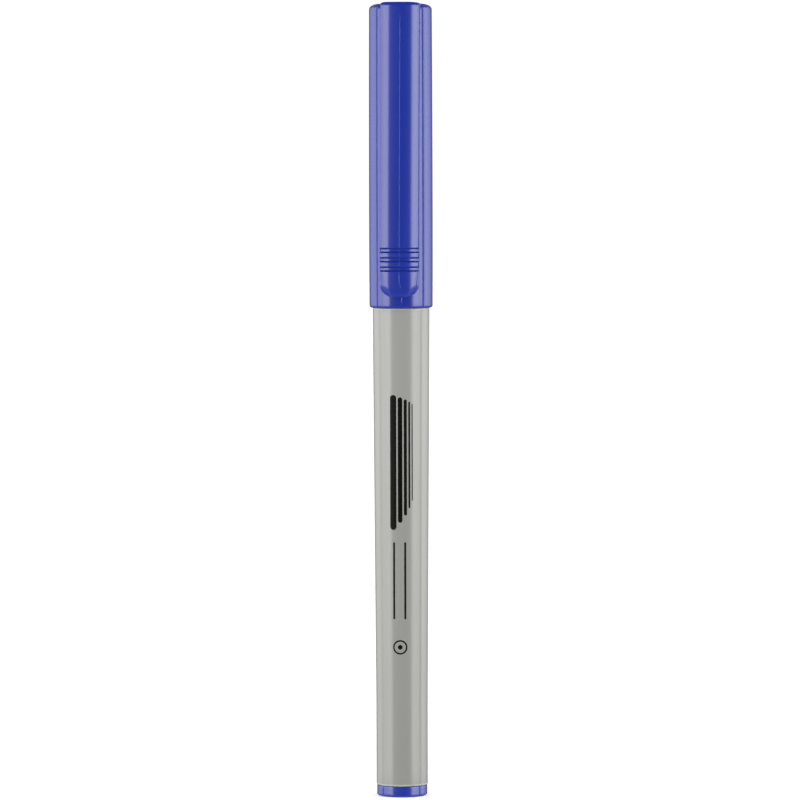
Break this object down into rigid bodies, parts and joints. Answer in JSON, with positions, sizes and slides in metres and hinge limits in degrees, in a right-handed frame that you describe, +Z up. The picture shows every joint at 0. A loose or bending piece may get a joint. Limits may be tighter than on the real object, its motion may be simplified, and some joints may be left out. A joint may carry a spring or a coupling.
{
  "type": "oil-based marker",
  "caption": "Slim capped marker: tapered round barrel, pull-off cap with a springy pocket clip, end plug, fibre ink store and a fine metal-sleeved nib.",
  "frame": {"origin": "centre of the end plug's flat outer face", "axes": "+Z up the pen's axis from the end plug to the cap, -Y from the axis towards the pocket clip, +X completes a right-handed frame"},
  "size_m": [0.0114, 0.0131, 0.142],
  "materials": {
    "barrel_plastic": "light grey moulded plastic, satin gloss",
    "plug_plastic": "blue moulded plastic, glossy",
    "cap_plastic": "blue moulded plastic, glossy",
    "ink_fibre": "ink-soaked fibre, matt",
    "film": "thin clear film",
    "holder_plastic": "grey moulded plastic",
    "sleeve_metal": "drawn stainless tube",
    "nib_plastic": "ink-stained plastic nib",
    "liner_plastic": "milky soft plastic"
  },
  "bodies": {
    "pen": {"barrel": "barrel_plastic", "end_plug": "plug_plastic", "ink_reservoir": "ink_fibre", "reservoir_film": "film", "nib_holder": "holder_plastic", "nib_sleeve": "sleeve_metal", "nib": "nib_plastic"},
    "cap": {"cap_body": "cap_plastic", "inner_cap": "liner_plastic"},
    "clip": {"pocket_clip": "cap_plastic"}
  },
  "joints": [
    {"name": "cap_pull", "type": "slide", "parent": "pen", "child": "cap", "axis": [0, 0, 1], "range_m": [0, 0.06]},
    {"name": "clip_flex", "type": "hinge", "parent": "cap", "child": "clip", "pos_m": [0, -0.0061, 0.13594], "axis": [-1, 0, 0], "range_deg": [0, 3.5], "stiffness_Nm_per_rad": 3}
  ]
}
